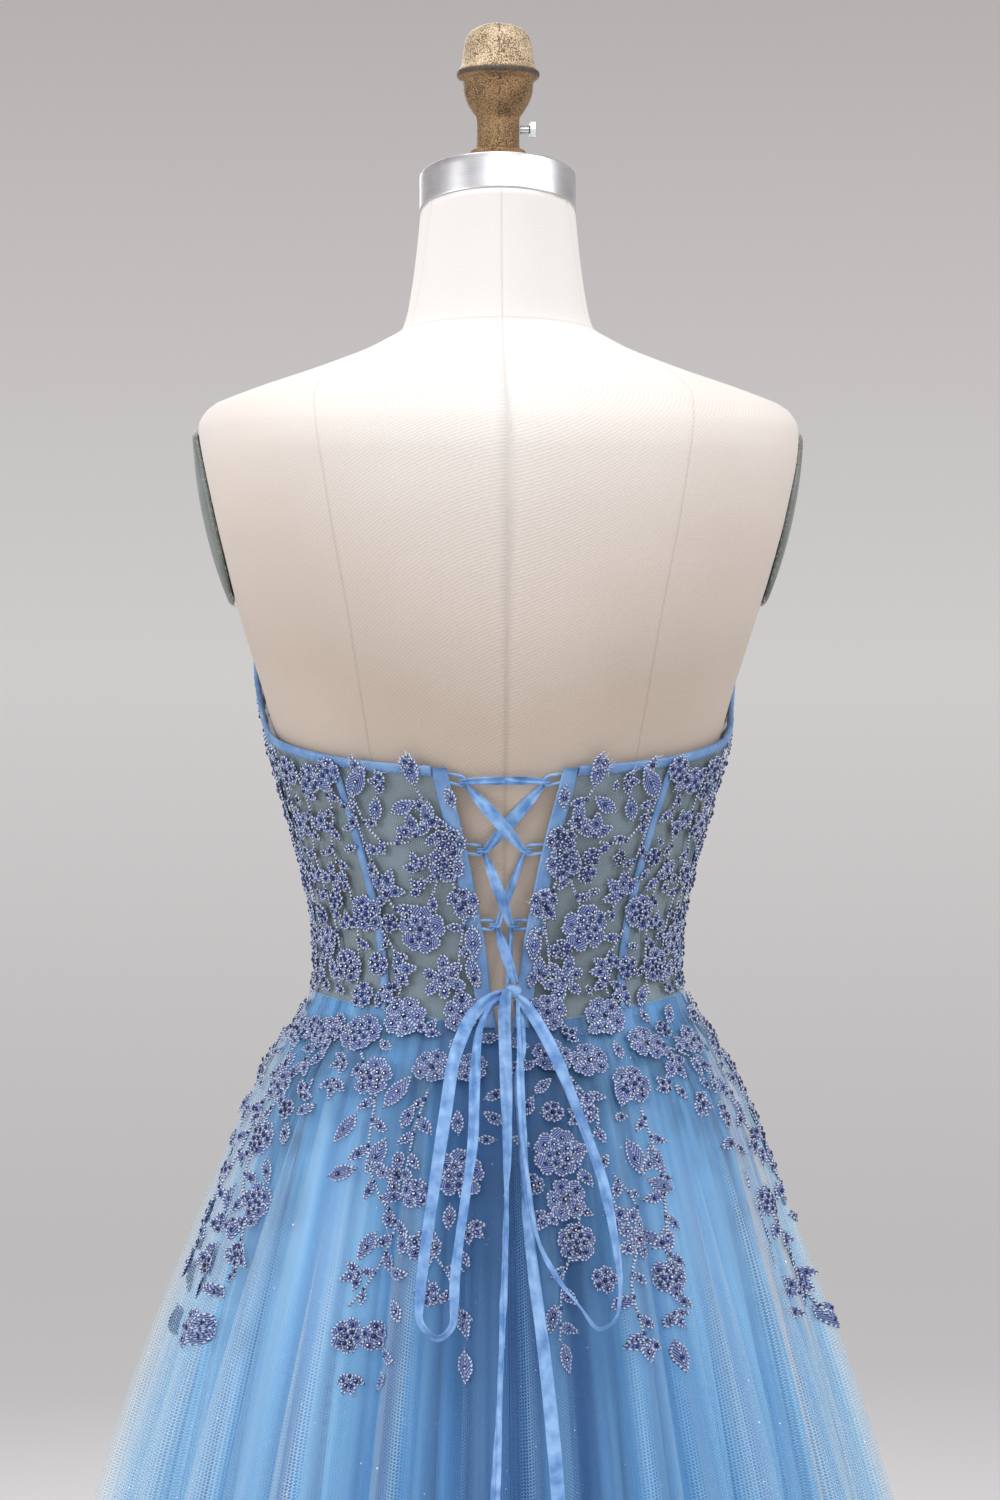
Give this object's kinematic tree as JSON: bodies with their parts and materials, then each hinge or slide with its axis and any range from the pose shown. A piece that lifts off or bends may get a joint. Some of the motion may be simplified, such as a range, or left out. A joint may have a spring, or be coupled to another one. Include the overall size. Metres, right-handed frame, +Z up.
{
  "type": "a-line prom dress on a limbless dress form with a stand",
  "caption": "Strapless floor-length A-line gown with a lace bodice, laced back and flared tulle skirt, worn by a limbless dress form on a round-based stand.",
  "frame": {"origin": "on the floor, at the centre of the stand base's underside, below the pole", "axes": "+Z up; the dress faces -Y and its laced back faces +Y; +X is its wearer's left"},
  "size_m": [0.8839, 0.871, 1.6563],
  "materials": {
    "linen": "woven linen, matt",
    "steel": "spun and polished",
    "aged_gold": "pitted casting, worn gold paint",
    "zinc": "zinc plated",
    "plate": "satin grey-green",
    "iron": "black, satin",
    "mesh": "sheer net",
    "satin": "satin",
    "lace": "corded lace with sewn stones",
    "tulle": "sheer glitter tulle",
    "lining": "smooth lining, opaque"
  },
  "bodies": {
    "root": {"form_body": "linen", "form_flange": "iron", "arm_plate_left": "plate", "arm_plate_right": "plate", "neck_band": "steel", "finial": "aged_gold", "finial_screw": "zinc", "stand_base": "iron", "stand_socket": "iron", "stand_pole": "steel", "bodice_back_left": "mesh", "bodice_back_right": "mesh", "bodice_side_back_left": "mesh", "bodice_side_back_right": "mesh", "bodice_side_front_left": "mesh", "bodice_side_front_right": "mesh", "bodice_front": "mesh", "casing_back_edge_left": "satin", "casing_back_edge_right": "satin", "casing_back_left": "satin", "casing_back_right": "satin", "casing_side_left": "satin", "casing_side_right": "satin", "casing_front_left": "satin", "casing_front_right": "satin", "binding_top": "satin", "skirt_lining_back_left": "lining", "skirt_lining_front": "lining", "skirt_lining_back_right": "lining", "skirt_under_tulle_back_left": "tulle", "skirt_under_tulle_front": "tulle", "skirt_under_tulle_back_right": "tulle", "skirt_outer_tulle_back_left": "tulle", "skirt_outer_tulle_front": "tulle", "skirt_outer_tulle_back_right": "tulle", "lace_bodice_back_left": "lace", "lace_bodice_back_right": "lace", "lace_bodice_front_left": "lace", "lace_bodice_front_right": "lace", "lace_skirt_back_left": "lace", "lace_skirt_back_right": "lace", "lace_skirt_side_left": "lace", "lace_skirt_side_right": "lace", "lace_skirt_front_left": "lace", "lace_skirt_front_right": "lace", "loop_left_1": "satin", "loop_left_2": "satin", "loop_left_3": "satin", "loop_right_1": "satin", "loop_right_2": "satin", "loop_right_3": "satin", "lacing_left": "satin", "lacing_right": "satin", "bow_knot": "satin", "bow_loop_left": "satin", "bow_loop_right": "satin", "bow_tail_left": "satin", "bow_tail_right": "satin"}
  },
  "joints": []
}
